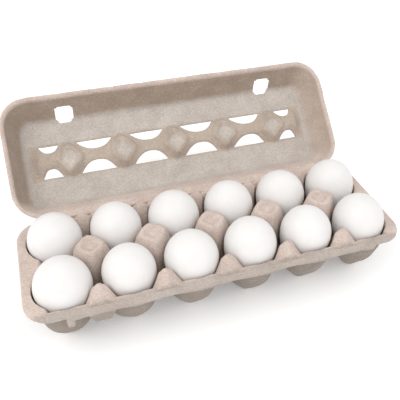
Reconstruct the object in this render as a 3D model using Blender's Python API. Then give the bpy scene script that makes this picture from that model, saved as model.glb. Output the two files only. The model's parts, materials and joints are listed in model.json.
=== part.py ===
"""An open egg carton of moulded paper pulp with twelve eggs: a tray of two rows of six cups, a lid
hinged along the tray's back edge, and one egg in each cup, large end up.

The carton is modelled with X along its length, Y towards the hinge and Z up. The last step moves
everything so that the origin is at the bottom centre of the whole object's box."""

import math

import bmesh
import bpy
from mathutils import Matrix, Vector

# Driving dimensions, in metres.
CUP_PITCH = 0.048
ROW_PITCH = 0.049
CUPS_PER_ROW = 6
RIM_HEIGHT = 0.048
PULP = 0.0018
OPEN_ANGLE = math.radians(43.4)

# The tray's outline at the rim: the front edge, the hinged back edge and the ends.
TRAY_HALF_LENGTH = 0.1488
TRAY_FRONT = -0.0525
TRAY_BACK = 0.0507
TRAY_CORNER = 0.020
EDGE_ROUNDING = 0.0012
LIP_DEPTH = 0.0034
SKIRT_DEPTH = 0.0058
SKIRT_WAVE = 0.0010
SKIRT_HALF_LENGTH = 0.120

# The cups end on this outline, and the flat flange runs from it to the tray's edge.
CELLS_HALF_LENGTH = 0.5 * CUPS_PER_ROW * CUP_PITCH
CELLS_CORNER = 0.014

# A cup's radius at each height above the floor, from the foot up to the top of the posts.
CUP_PROFILE = ((0.0018, 0.0062), (0.020, 0.0172), (0.034, 0.0208), (0.040, 0.0219), (0.048, 0.0228),
               (0.062, 0.0233))
FOOT_SQUARENESS = 3.2
FOOT_FLAT_SHARE = 0.7
ROUND_ABOVE = 0.030
CUP_ANGLES_DEG = (0, 30, 45, 60, 90)
WALL_STEPS = (0.42, 0.75)
LEAST_RIDGE = 0.0012
WIDEST_CUP = 0.028

# The ridges between the cups: low saddles, a tall post among each four cups and a half post at the
# front and back between each two.
SADDLE_HEIGHT = 0.029
POST_HEIGHT = RIM_HEIGHT + 0.011
POST_HALF_DIAGONAL = 0.0112
POST_FALL = 0.042
POST_DIMPLE = 0.0010
HALF_POST_HEIGHT = RIM_HEIGHT + 0.0096
HALF_POST_Y = 0.0384
HALF_POST_HALF_WIDTH = 0.0045
HALF_POST_FALL = 2.6
VALLEY_HEIGHT = RIM_HEIGHT - 0.0008
END_LEDGE = 0.010
LEDGE_FALL = 2.4

# The latch tabs on the front skirt: the left one hangs and the right one is bent in under the rim.
TAB_X = 0.0965
TAB_TOP_WIDTH = 0.0175
TAB_TIP_WIDTH = 0.0080
TAB_LENGTH = 0.0110
TAB_OVERLAP = 0.0030
TAB_INSET = 0.0003
RIGHT_TAB_BEND = math.radians(68)

# The lid, measured from its hinge: its rim, its flat panel and the walls between them.
LID_GAP = 0.0004
HINGE_HEIGHT = RIM_HEIGHT + 0.0006
LID_HALF_LENGTH = 0.1467
LID_WIDTH = 0.103
LID_CORNER = 0.023
LID_RIM = 0.0026
LID_DEPTH = 0.0255
LID_NEAR = 0.0016
WALL_BULGE_ENDS = 0.20
WALL_BULGE_SIDES = 0.05
PANEL_HALF_LENGTH = 0.130
PANEL_NEAR = 0.015
PANEL_FAR = 0.0855
PANEL_CORNER = 0.010
CORNER_CUT = 0.4
RIM_DEPTH = 0.0016

# The ridge along the lid's middle: a band with five bosses over the posts and a window beside each cup.
RIDGE_HEIGHT = 0.0070
RIDGE_HALF_TOP = 0.005
RIDGE_HALF_FOOT = 0.015
RIDGE_END = 0.128
BOSS_HEIGHT = 0.0095
BOSS_HALF_DIAGONAL = 0.0112
BOSS_FALL = 1.6
BOSS_RECESS = 0.0014
BESIDE_BOSS = (0.0, 0.0045, 0.0080, 0.0160)
BOSS_SIDE_EDGE = 0.0087
WINDOW_HALF_LENGTH = 0.016
WINDOW_TIP = 0.0125
END_WINDOW = (0.104, 0.120)
END_WINDOW_INSET = 0.002
SLOT_HALF_WIDTH = 0.0080
SLOT_DEPTHS = (0.0115, 0.0250)

# The eggs, front row then back row, left to right: width and length.
EGG_SIZES = (
    ((0.0422, 0.0560), (0.0404, 0.0535), (0.0418, 0.0540),
     (0.0414, 0.0570), (0.0406, 0.0560), (0.0414, 0.0580)),
    ((0.0422, 0.0560), (0.0410, 0.0545), (0.0422, 0.0560),
     (0.0412, 0.0545), (0.0416, 0.0555), (0.0418, 0.0600)),
)
EGG_ROWS = ("front", "back")
LARGE_END_SHARE = 0.40
EGG_POINTING = 0.07
EGG_SEGMENTS = 14
EGG_RINGS = 9
MOST_LEAN_DEG = 2.0


# --- Scene and materials ---

def clear_scene():
    for obj in list(bpy.data.objects):
        bpy.data.objects.remove(obj, do_unlink=True)


def make_material(name, color, roughness):
    material = bpy.data.materials.new(name)
    material.use_nodes = True
    shader = material.node_tree.nodes["Principled BSDF"]
    shader.inputs["Base Color"].default_value = (*color, 1.0)
    shader.inputs["Roughness"].default_value = roughness
    shader.inputs["Metallic"].default_value = 0.0
    return material


def make_object(name, mesh, material):
    obj = bpy.data.objects.new(name, mesh)
    bpy.context.scene.collection.objects.link(obj)
    mesh.materials.append(material)
    return obj


def mesh_from(name, bm):
    """A mesh of the faces gathered so far, with coincident points joined."""
    bmesh.ops.remove_doubles(bm, verts=bm.verts, dist=1e-6)
    mesh = bpy.data.meshes.new(name)
    bm.to_mesh(mesh)
    bm.free()
    return mesh


def add_thickness(obj):
    """Solidify away from the side that the sheet's faces point to."""
    solidify = obj.modifiers.new("pulp_thickness", "SOLIDIFY")
    solidify.thickness = PULP
    solidify.offset = -1.0
    solidify.use_quality_normals = True


# --- Small geometry helpers ---

def clamp(value, low, high):
    return max(low, min(high, value))


def interpolate(x, points):
    """Piecewise linear through (x, y) points, level beyond the ends."""
    if x <= points[0][0]:
        return points[0][1]
    for (x0, y0), (x1, y1) in zip(points, points[1:]):
        if x <= x1:
            return y0 + (y1 - y0) * (x - x0) / (x1 - x0)
    return points[-1][1]


def quarter_turns(angles_deg):
    """The full circle from the angles of one quarter, with the corner angle aimed at the cell's corner."""
    corner = math.atan2(ROW_PITCH, CUP_PITCH)
    quarter = [corner if a == 45 else math.radians(a) for a in angles_deg]
    mirrored = [math.pi - a for a in reversed(quarter[1:-1])]
    half = quarter + mirrored
    return half + [a + math.pi for a in half]


def add_band(bm, lower, upper, closed=True):
    """Quads between two rows of points, whose faces point up when the rows run anticlockwise outwards."""
    count = len(lower)
    for k in range(count if closed else count - 1):
        n = (k + 1) % count
        corners = (lower[k], upper[k], upper[n], lower[n])
        bm.faces.new([bm.verts.new(p) for p in corners])


def rounded_outline(point, inner, outer):
    """Moves a point on one rounded rectangle to the matching point of another. Each is given as
    (half length, near side, far side, corner radius). Straight stretches keep their X or Y."""
    half_in, near_in, far_in, r_in = inner
    half_out, near_out, far_out, r_out = outer
    x, y = point
    side_x = math.copysign(1.0, x)
    beyond_x = abs(x) - (half_in - r_in)
    beyond_y = max(y - (far_in - r_in), (near_in + r_in) - y)
    if beyond_x > 1e-7 and beyond_y > 1e-7:
        angle = math.atan2(beyond_y, beyond_x)
        reach_x = half_out - r_out + r_out * math.cos(angle)
        reach_y = r_out * math.sin(angle)
        if y > 0.5 * (near_in + far_in):
            return side_x * reach_x, far_out - r_out + reach_y
        return side_x * reach_x, near_out + r_out - reach_y
    if beyond_y > 1e-7 or abs(beyond_y - r_in) < 1e-7:
        stretch = min(1.0, (half_out - r_out) / abs(x)) if abs(x) > half_in - r_in - 1e-7 else 1.0
        return x * stretch, far_out if y > 0.5 * (near_in + far_in) else near_out
    return side_x * half_out, clamp(y, near_out + r_out, far_out - r_out)


# --- Tray ---

def cup_wall_height(dx, dy):
    """Height of a cup's wall at an offset from its centre: square feet that turn round higher up."""
    radius = math.hypot(dx, dy)
    if radius < 1e-9:
        return CUP_PROFILE[0][0]
    heights = [(r, z) for z, r in CUP_PROFILE]
    z = interpolate(radius, heights)
    roundness = clamp(z / ROUND_ABOVE, 0.0, 1.0)
    power = FOOT_SQUARENESS + (2.0 - FOOT_SQUARENESS) * roundness
    square = (abs(dx) ** power + abs(dy) ** power) ** (1.0 / power)
    return interpolate(square, heights)


def ridge_height(x, y):
    """Height of the sheet where no cup cuts into it: saddles, posts, half posts and the flange."""
    post_x = CUP_PITCH * clamp(round(x / CUP_PITCH), -2, 2)
    along = abs(x - post_x)
    reach = (along + abs(y)) / POST_HALF_DIAGONAL
    height = max(SADDLE_HEIGHT, POST_HEIGHT - POST_FALL * max(0.0, reach - 1.0))
    if reach < 1e-6:
        height -= POST_DIMPLE
    across = max(0.0, along - HALF_POST_HALF_WIDTH)
    from_peak = abs(abs(y) - HALF_POST_Y)
    inward = abs(y) < HALF_POST_Y
    slope = HALF_POST_FALL if inward else (HALF_POST_HEIGHT - VALLEY_HEIGHT) / (ROW_PITCH - HALF_POST_Y)
    half_post = HALF_POST_HEIGHT - slope * from_peak - HALF_POST_FALL * across
    height = max(height, half_post)
    from_end = CELLS_HALF_LENGTH - abs(x)
    height = max(height, RIM_HEIGHT - LEDGE_FALL * max(0.0, from_end - END_LEDGE))
    if abs(y) > HALF_POST_Y + 0.5 * (ROW_PITCH - HALF_POST_Y):
        height = max(height, VALLEY_HEIGHT if along < CUP_PITCH / 8 else RIM_HEIGHT)
    return height


def reach_of_cell(cup_x, cup_y, angle):
    """Distance from a cup's centre to its cell's edge, or to the rounded corner of the block of cells."""
    dir_x, dir_y = math.cos(angle), math.sin(angle)
    reach = min(CUP_PITCH / 2 / max(abs(dir_x), 1e-9), ROW_PITCH / 2 / max(abs(dir_y), 1e-9))
    corner = Vector((math.copysign(CELLS_HALF_LENGTH - CELLS_CORNER, cup_x),
                     math.copysign(ROW_PITCH - CELLS_CORNER, cup_y)))
    tip = Vector((cup_x + reach * dir_x, cup_y + reach * dir_y))
    if abs(tip.x) > abs(corner.x) and abs(tip.y) > abs(corner.y):
        offset = Vector((cup_x, cup_y)) - corner
        towards = offset.x * dir_x + offset.y * dir_y
        spare = offset.length_squared - CELLS_CORNER ** 2
        reach = -towards + math.sqrt(towards * towards - spare)
    return reach


def wall_top(cup_x, cup_y, angle, reach):
    """Distance from the cup's centre at which its wall meets the ridge."""
    low, high = CUP_PROFILE[0][1], reach
    for _ in range(40):
        middle = 0.5 * (low + high)
        dx, dy = middle * math.cos(angle), middle * math.sin(angle)
        if cup_wall_height(dx, dy) < ridge_height(cup_x + dx, cup_y + dy):
            low = middle
        else:
            high = middle
    return low


def wall_radius(angle, height):
    """Distance from the cup's centre at which its wall reaches a height."""
    low, high = 0.0, WIDEST_CUP
    for _ in range(40):
        middle = 0.5 * (low + high)
        if cup_wall_height(middle * math.cos(angle), middle * math.sin(angle)) < height:
            low = middle
        else:
            high = middle
    return low


def add_cup(bm, cup_x, cup_y, angles):
    """One cup with its share of the ridges round it, and returns the points on its cell's edge."""
    rows = [[] for _ in range(len(WALL_STEPS) + 5)]
    for angle in angles:
        reach = reach_of_cell(cup_x, cup_y, angle)
        top = min(wall_top(cup_x, cup_y, angle, reach), reach - LEAST_RIDGE)
        direction = Vector((math.cos(angle), math.sin(angle), 0.0))
        centre = Vector((cup_x, cup_y, 0.0))
        foot_z = CUP_PROFILE[0][0]
        top_point = centre + direction * top
        top_z = ridge_height(top_point.x, top_point.y)
        foot = wall_radius(angle, foot_z + 1e-6)
        lift = Vector((0.0, 0.0, foot_z))
        points = [centre + direction * foot * share + lift for share in (FOOT_FLAT_SHARE, 1.0)]
        for step in WALL_STEPS:
            z = foot_z + step * (top_z - foot_z)
            points.append(centre + direction * wall_radius(angle, z) + Vector((0, 0, z)))
        for distance in (top, 0.5 * (top + reach), reach):
            point = centre + direction * distance
            points.append(point + Vector((0, 0, ridge_height(point.x, point.y))))
        for row, point in zip(rows, points):
            row.append(point)
    bm.faces.new([bm.verts.new(p) for p in rows[0]])
    for lower, upper in zip(rows, rows[1:]):
        add_band(bm, lower, upper)
    return rows[-1]


def skirt_bottom(x, y):
    """Height of the rim's lower edge: a short lip, and a deeper wavy skirt along the front."""
    if y > 0.0 or abs(x) > SKIRT_HALF_LENGTH or y > TRAY_FRONT + 1e-4:
        return RIM_HEIGHT - LIP_DEPTH
    wave = math.cos(2 * math.pi * x / CUP_PITCH)
    return RIM_HEIGHT - SKIRT_DEPTH + SKIRT_WAVE * wave


def add_flange(bm, edge_points):
    """The flat rim round the cups, its rounded edge and its lip."""
    inner = (CELLS_HALF_LENGTH, -ROW_PITCH, ROW_PITCH, CELLS_CORNER)
    rows = [[], [], [], []]
    for point in edge_points:
        rows[0].append(point)
        for row, inset, drop in ((1, EDGE_ROUNDING, 0.0), (2, 0.0, EDGE_ROUNDING)):
            outer = (TRAY_HALF_LENGTH - inset, TRAY_FRONT + inset, TRAY_BACK - inset, TRAY_CORNER - inset)
            x, y = rounded_outline((point.x, point.y), inner, outer)
            rows[row].append(Vector((x, y, RIM_HEIGHT - drop)))
        rows[3].append(Vector((x, y, skirt_bottom(x, y))))
    for lower, upper in zip(rows, rows[1:]):
        add_band(bm, lower, upper)


def block_edge(edge_points):
    """The points on the outside of the block of cells, once each, anticlockwise from the right end."""
    found = {}
    for p in edge_points:
        on_arc = (math.hypot(max(0.0, abs(p.x) - (CELLS_HALF_LENGTH - CELLS_CORNER)),
                             max(0.0, abs(p.y) - (ROW_PITCH - CELLS_CORNER))) > CELLS_CORNER - 1e-6)
        if on_arc:
            found[(round(p.x, 6), round(p.y, 6))] = p

    def way_round(p):
        spare = CELLS_HALF_LENGTH - ROW_PITCH
        return math.atan2(p.y, p.x - clamp(p.x, -spare, spare)), p.x

    right = sorted((p for p in found.values() if p.x > CELLS_HALF_LENGTH - ROW_PITCH), key=way_round)
    left = sorted((p for p in found.values() if p.x < ROW_PITCH - CELLS_HALF_LENGTH),
                  key=lambda p: math.atan2(p.y, p.x + CELLS_HALF_LENGTH - ROW_PITCH) % (2 * math.pi))
    between = [p for p in found.values() if abs(p.x) <= CELLS_HALF_LENGTH - ROW_PITCH]
    back = sorted((p for p in between if p.y > 0), key=lambda p: -p.x)
    front = sorted((p for p in between if p.y < 0), key=lambda p: p.x)
    return right + back + left + front


def latch_tab(name, centre_x, bend):
    """A tapered tab under the front skirt, bent in from hanging by an angle. It is a helper that the
    tray is joined with."""
    bm = bmesh.new()
    half_top, half_tip = TAB_TOP_WIDTH / 2, TAB_TIP_WIDTH / 2
    front, back = TAB_INSET, PULP - TAB_INSET
    outline = ((-half_top, TAB_OVERLAP), (-half_top, 0.0), (-half_tip, -TAB_LENGTH),
               (half_tip, -TAB_LENGTH), (half_top, 0.0), (half_top, TAB_OVERLAP))
    fold = Matrix.Rotation(bend, 3, "X")
    rows = []
    for depth in (front, back):
        row = []
        for x, z in outline:
            local = Vector((0.0, depth, z))
            if z < 0.0:
                local = fold @ Vector((0.0, depth - PULP / 2, z)) + Vector((0.0, PULP / 2, 0.0))
            row.append(bm.verts.new(Vector((centre_x + x, TRAY_FRONT, RIM_HEIGHT - SKIRT_DEPTH)) + local))
        rows.append(row)
    for k in (0, 1, 2, 3, 4, 5):
        n = (k + 1) % 6
        bm.faces.new((rows[0][k], rows[0][n], rows[1][n], rows[1][k]))
    for row in rows:
        for quad in ((0, 1, 4, 5), (1, 2, 3, 4)):
            bm.faces.new([row[i] for i in quad])
    bmesh.ops.recalc_face_normals(bm, faces=bm.faces)
    obj = bpy.data.objects.new(name, mesh_from(name, bm))
    bpy.context.scene.collection.objects.link(obj)
    obj.hide_render = True
    obj.display_type = "WIRE"
    return obj


def make_tray(material):
    bm = bmesh.new()
    angles = quarter_turns(CUP_ANGLES_DEG)
    edges = []
    for row in (-0.5, 0.5):
        for k in range(CUPS_PER_ROW):
            cup_x = (k - 0.5 * (CUPS_PER_ROW - 1)) * CUP_PITCH
            edges += add_cup(bm, cup_x, row * ROW_PITCH, angles)
    add_flange(bm, block_edge(edges))
    tray = make_object("tray", mesh_from("tray", bm), material)
    add_thickness(tray)
    for name, x, bend in (("left_tab_form", -TAB_X, 0.0), ("right_tab_form", TAB_X, RIGHT_TAB_BEND)):
        join = tray.modifiers.new(name, "BOOLEAN")
        join.operation = "UNION"
        join.object = latch_tab(name, x, bend)
    return tray


# --- Lid ---

def lid_columns():
    """X of each line across the lid's panel: finer at the bosses and windows."""
    columns = {0.5 * CUP_PITCH * k for k in (-3, -1, 1, 3)}
    for boss in range(-2, 3):
        for offset in BESIDE_BOSS:
            columns |= {boss * CUP_PITCH + offset, boss * CUP_PITCH - offset}
    columns.add(END_WINDOW[1])
    columns.add(-END_WINDOW[1])
    corner = PANEL_HALF_LENGTH - CORNER_CUT * PANEL_CORNER
    columns |= {PANEL_HALF_LENGTH, -PANEL_HALF_LENGTH, corner, -corner}
    return sorted(round(x, 6) for x in columns)


def window_edge(x):
    """Distance of the windows' curved edge from the lid's middle line at X, or of the boss's rim."""
    from_window = abs((abs(x) % CUP_PITCH) - CUP_PITCH / 2)
    if abs(x) > END_WINDOW[0] - 1e-6:
        middle = 0.5 * (END_WINDOW[0] + END_WINDOW[1])
        share = clamp(abs(abs(x) - middle) / (middle - END_WINDOW[0]), 0.0, 1.0)
        tip = RIDGE_HALF_TOP + END_WINDOW_INSET
        return tip + (WINDOW_TIP - tip) * share ** 2
    share = from_window / WINDOW_HALF_LENGTH
    if share > 1.0 + 1e-6:
        return BOSS_SIDE_EDGE
    return RIDGE_HALF_TOP + (WINDOW_TIP - RIDGE_HALF_TOP) * share ** 2


def beside_window(x):
    """Whether a panel cell whose middle is at X lies in the run of a window."""
    if abs(x) > END_WINDOW[0]:
        return abs(x) < END_WINDOW[1]
    from_window = abs((abs(x) % CUP_PITCH) - CUP_PITCH / 2)
    return from_window < WINDOW_HALF_LENGTH


def lid_depth(x, t):
    """Depth of the lid's inner face at X and at a distance t from its middle line."""
    boss_x = CUP_PITCH * clamp(round(x / CUP_PITCH), -2, 2)
    end_fade = clamp((RIDGE_END - abs(x)) / (RIDGE_END - END_WINDOW[1]), 0.0, 1.0)
    side = clamp((RIDGE_HALF_FOOT - abs(t)) / (RIDGE_HALF_FOOT - RIDGE_HALF_TOP), 0.0, 1.0)
    band = RIDGE_HEIGHT * side * end_fade
    reach = (abs(x - boss_x) + abs(t)) / BOSS_HALF_DIAGONAL
    boss = BOSS_HEIGHT * clamp(1.0 - BOSS_FALL * (reach - 1.0), 0.0, 1.0)
    if reach < 1e-6:
        boss -= BOSS_RECESS
    return LID_DEPTH - max(band, boss)


def lid_rows(x):
    """Distances from the hinge of the points on the line across the lid at X."""
    middle = TRAY_BACK + LID_GAP
    inner = window_edge(x)
    near_arc = PANEL_NEAR + CORNER_CUT * PANEL_CORNER
    far_arc = PANEL_FAR - CORNER_CUT * PANEL_CORNER
    return (PANEL_NEAR, near_arc, PANEL_NEAR + PANEL_CORNER, middle - RIDGE_HALF_FOOT, middle - inner, middle,
            middle + inner, middle + RIDGE_HALF_FOOT, PANEL_FAR - PANEL_CORNER, far_arc, PANEL_FAR)


def round_panel_corner(x, u):
    """Moves the points at the panel's corners onto its corner arcs."""
    corner_x = PANEL_HALF_LENGTH - PANEL_CORNER
    beyond_x = abs(x) - corner_x
    beyond_u = max(u - (PANEL_FAR - PANEL_CORNER), PANEL_NEAR + PANEL_CORNER - u)
    if min(beyond_x, beyond_u) < 1e-6 or max(beyond_x, beyond_u) < PANEL_CORNER - 1e-6:
        return x, u
    angle = math.atan2(beyond_u, beyond_x)
    reach = PANEL_CORNER / max(math.hypot(beyond_x, beyond_u), PANEL_CORNER)
    out_x = corner_x + reach * beyond_x if angle else abs(x)
    out_u = reach * beyond_u
    if u > 0.5 * (PANEL_NEAR + PANEL_FAR):
        return math.copysign(out_x, x), PANEL_FAR - PANEL_CORNER + out_u
    return math.copysign(out_x, x), PANEL_NEAR + PANEL_CORNER - out_u


def make_lid(material):
    """The lid lies open side up in its own frame: Y runs from the hinge, and its depth is below Z = 0."""
    bm = bmesh.new()
    middle = TRAY_BACK + LID_GAP
    columns = lid_columns()
    grid = []
    for x in columns:
        line = []
        for u in lid_rows(x):
            px, pu = round_panel_corner(x, u)
            line.append(Vector((px, pu, -lid_depth(x, u - middle))))
        grid.append(line)
    window_rows = (3, 6)
    for left, right, x0, x1 in zip(grid, grid[1:], columns, columns[1:]):
        for row in range(len(left) - 1):
            if row in window_rows and beside_window(0.5 * (x0 + x1)):
                continue
            corners = (left[row], right[row], right[row + 1], left[row + 1])
            bm.faces.new([bm.verts.new(p) for p in corners])
    edge = [line[0] for line in grid] + grid[-1][1:] + [line[-1] for line in reversed(grid[:-1])]
    edge += list(reversed(grid[0][1:-1]))
    add_lid_walls(bm, edge)
    lid = make_object("lid", mesh_from("lid", bm), material)
    lid.location = (0.0, TRAY_BACK + LID_GAP, HINGE_HEIGHT)
    lid.rotation_euler = (OPEN_ANGLE, 0.0, 0.0)
    add_thickness(lid)
    return lid


def add_lid_walls(bm, edge):
    """The flared walls from the panel's edge up to the rim, with the two latch slots left open."""
    panel = (PANEL_HALF_LENGTH, PANEL_NEAR, PANEL_FAR, PANEL_CORNER)
    rim = (LID_HALF_LENGTH, LID_NEAR, LID_WIDTH, LID_CORNER)
    inner_rim = (LID_HALF_LENGTH - LID_RIM, LID_NEAR + LID_RIM, LID_WIDTH - LID_RIM, LID_CORNER - LID_RIM)
    levels = []
    for depth in (SLOT_DEPTHS[1], SLOT_DEPTHS[0], RIM_DEPTH):
        share = (LID_DEPTH - depth) / (LID_DEPTH - RIM_DEPTH)
        bow = 4.0 * share * (1.0 - share)
        ends = share + WALL_BULGE_ENDS * bow
        sides = share + WALL_BULGE_SIDES * bow
        shares = (ends, sides, sides, share)
        outline = tuple(a + part * (b - a) for a, b, part in zip(panel, inner_rim, shares))
        levels.append((outline, depth))
    levels.append((rim, 0.0))
    rows = [edge]
    for outline, depth in levels:
        row = []
        for point in edge:
            x, u = rounded_outline((point.x, point.y), panel, outline)
            row.append(Vector((x, u, -depth)))
        rows.append(row)
    slot_level = 1
    for level, (lower, upper) in enumerate(zip(rows, rows[1:])):
        for k in range(len(lower)):
            n = (k + 1) % len(lower)
            x = 0.5 * (lower[k].x + lower[n].x)
            far_side = min(lower[k].y, lower[n].y) > PANEL_FAR - 1e-3
            if level == slot_level and far_side and abs(abs(x) - 2 * CUP_PITCH) < SLOT_HALF_WIDTH:
                continue
            corners = (lower[k], upper[k], upper[n], lower[n])
            bm.faces.new([bm.verts.new(p) for p in corners])


# --- Eggs ---

def make_egg(name, width, length, material, centre, lean):
    """An egg of two half ellipses of revolution that share its widest circle, the small end drawn in."""
    bm = bmesh.new()
    bmesh.ops.create_uvsphere(bm, u_segments=EGG_SEGMENTS, v_segments=EGG_RINGS, radius=1.0)
    for vert in bm.verts:
        x, y, z = vert.co
        pointing = 1.0 if z > 0.0 else 1.0 - EGG_POINTING * z * z
        height = length * (LARGE_END_SHARE if z > 0.0 else 1.0 - LARGE_END_SHARE)
        vert.co = (x * width / 2 * pointing, y * width / 2 * pointing, z * height)
    mesh = mesh_from(name, bm)
    mesh.shade_smooth()
    egg = make_object(name, mesh, material)
    egg.location = centre
    egg.rotation_euler = lean
    return egg


def make_eggs(material):
    eggs = []
    for row, sizes in enumerate(EGG_SIZES):
        for k, (width, length) in enumerate(sizes):
            x = (k - 0.5 * (CUPS_PER_ROW - 1)) * CUP_PITCH
            y = (row - 0.5) * ROW_PITCH
            most = math.radians(MOST_LEAN_DEG)
            lean = (most * math.sin(2.1 * k + row), most * math.cos(1.7 * k + 2 * row), 0.0)
            name = f"egg_{EGG_ROWS[row]}_{k + 1}"
            eggs.append(make_egg(name, width, length, material, (x, y, RIM_HEIGHT), lean))
    return eggs


# --- Whole object ---

def move_to_origin(nodes, helpers):
    """Puts the origin at the bottom centre of the box round all the nodes."""
    bpy.context.view_layer.update()
    graph = bpy.context.evaluated_depsgraph_get()
    corners = []
    for obj in nodes:
        evaluated = obj.evaluated_get(graph)
        mesh = evaluated.to_mesh()
        corners += [evaluated.matrix_world @ v.co for v in mesh.vertices]
        evaluated.to_mesh_clear()
    low = Vector([min(c[i] for c in corners) for i in range(3)])
    high = Vector([max(c[i] for c in corners) for i in range(3)])
    shift = Vector((-0.5 * (low.x + high.x), -0.5 * (low.y + high.y), -low.z))
    for obj in nodes + helpers:
        obj.location += shift


def main():
    clear_scene()
    pulp = make_material("pulp", (0.46, 0.39, 0.34), 0.95)
    shell = make_material("eggshell", (0.89, 0.87, 0.85), 0.5)
    tray = make_tray(pulp)
    helpers = [modifier.object for modifier in tray.modifiers if modifier.type == "BOOLEAN"]
    nodes = [tray, make_lid(pulp)] + make_eggs(shell)
    move_to_origin(nodes, helpers)


main()
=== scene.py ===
"""The looks of an open egg carton of moulded paper pulp with twelve white eggs: fine meshes for the tray,
the lid, the paper hinge and the eggs, their materials, soft studio light and the camera."""

import json
import math

import bpy
import numpy as np
from mathutils import Euler, Matrix, Vector


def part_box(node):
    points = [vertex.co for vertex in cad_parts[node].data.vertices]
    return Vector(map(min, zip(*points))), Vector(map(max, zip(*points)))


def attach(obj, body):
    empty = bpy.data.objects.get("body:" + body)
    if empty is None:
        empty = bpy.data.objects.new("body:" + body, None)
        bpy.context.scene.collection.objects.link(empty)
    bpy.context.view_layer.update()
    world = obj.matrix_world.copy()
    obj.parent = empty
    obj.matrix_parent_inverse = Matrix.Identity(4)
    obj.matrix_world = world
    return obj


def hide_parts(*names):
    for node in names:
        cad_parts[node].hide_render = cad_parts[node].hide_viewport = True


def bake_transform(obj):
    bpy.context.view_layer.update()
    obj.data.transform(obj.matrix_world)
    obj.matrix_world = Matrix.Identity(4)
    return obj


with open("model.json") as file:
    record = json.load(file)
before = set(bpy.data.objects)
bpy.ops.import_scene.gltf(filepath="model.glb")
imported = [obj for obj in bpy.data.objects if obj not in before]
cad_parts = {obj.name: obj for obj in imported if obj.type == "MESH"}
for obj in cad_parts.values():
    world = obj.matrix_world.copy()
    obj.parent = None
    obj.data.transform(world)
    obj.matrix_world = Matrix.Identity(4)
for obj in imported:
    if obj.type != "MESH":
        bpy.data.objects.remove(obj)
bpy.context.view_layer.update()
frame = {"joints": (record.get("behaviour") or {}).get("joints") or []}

# Sizes of the carton in metres, as in the CAD model, with Y = 0 between the two rows of cups.
CUP_PITCH = 0.048
ROW_PITCH = 0.049
CUPS_PER_ROW = 6
RIM_HEIGHT = 0.048
PULP = 0.0017
OPEN_ANGLE = math.radians(43.4)
TRAY_HALF_LENGTH = 0.1488
TRAY_FRONT = -0.0525
TRAY_BACK = 0.0507
TRAY_CORNER = 0.020
CELLS_HALF_LENGTH = 0.5 * CUPS_PER_ROW * CUP_PITCH
CELLS_CORNER = 0.014
TRAY_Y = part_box("tray")[0][1] - TRAY_FRONT
HINGE = Vector(next(j for j in frame["joints"] if j["name"] == "lid_hinge")["pos_m"])

# The tray's cups, ridges and rim.
CUP_PROFILE = ((0.0018, 0.0000), (0.0018, 0.0031), (0.018, 0.0159), (0.032, 0.0205), (0.040, 0.0219),
               (0.048, 0.0226), (0.062, 0.0231), (0.080, 0.0240))
FOOT_SQUARENESS = 2.5
ROUND_ABOVE = 0.033
SADDLE_HEIGHT = 0.029
POST_HEIGHT = RIM_HEIGHT + 0.0112
POST_HALF_DIAGONAL = 0.0116
POST_FALL = 0.042
POST_DIMPLE = 0.0026
DIAMOND = 1.3
HALF_POST_HEIGHT = RIM_HEIGHT + 0.0094
HALF_POST_Y = 0.0384
HALF_POST_ROUNDING = 0.0022
HALF_POST_SLOPE = 1.24
HALF_POST_STEEP = 2.2
VALLEY_DEPTH = 0.0040
END_LEDGE = 0.010
LEDGE_FALL = 2.4
EDGE_RADIUS = 0.0022
BACK_ROUNDING = 0.6
LIP_DEPTH = 0.0033
SKIRT_DEPTH = 0.0060
SKIRT_WAVE = 0.0012
SKIRT_HALF_LENGTH = 0.1205

# Tabs on the front skirt: centre, half widths at the top and the tip, length, and the angle each is bent in.
TABS = (
    (-0.1185, 0.0024, 0.0016, 0.0055, 0.0),
    (-0.0965, 0.0090, 0.0046, 0.0118, math.radians(14)),
    (0.0965, 0.0088, 0.0040, 0.0105, math.radians(66)),
)

# The lid, measured from its hinge.
LID_HALF_LENGTH = 0.1467
LID_WIDTH = 0.103
LID_NEAR = 0.0016
LID_CORNER = 0.023
LID_RIM = 0.0026
LID_DEPTH = 0.0255
RIM_DEPTH = 0.0016
PANEL_HALF_LENGTH = 0.130
PANEL_NEAR = 0.015
PANEL_FAR = 0.0855
PANEL_CORNER = 0.010
WALL_BULGE_ENDS = 0.20
WALL_BULGE_SIDES = 0.05
RIDGE_MIDDLE = 0.0511
RIDGE_HEIGHT = 0.0070
RIDGE_HALF_TOP = 0.0048
RIDGE_HALF_FOOT = 0.0150
RIDGE_END = 0.1285
BROWN_BAND = 0.0018
BOSS_HEIGHT = 0.0098
BOSS_HALF_DIAGONAL = 0.0116
BOSS_FALL = 2.4
BOSS_RECESS = 0.0020
WINDOW_HALF_LENGTH = 0.0166
END_WINDOW = (0.1030, 0.1212)
SLOTS_X = (-0.0935, 0.0945)
SLOT_HALF_WIDTH = 0.0083
SLOT_DEPTHS = (0.0112, 0.0254)
SLOT_SQUARENESS = 5.0
WALL_FILLET = 0.16
RIM_WEAR = 0.0009

# The hinge: Y and Z of the crease's upper face from the hinge line.
HINGE_HALF_LENGTH = 0.1225
HINGE_PATH = ((-0.0016, -0.0005), (0.0000, -0.0001), (0.0020, 0.0006), (0.0048, 0.0011), (0.0070, 0.0007),
              (0.0090, -0.0001))

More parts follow.
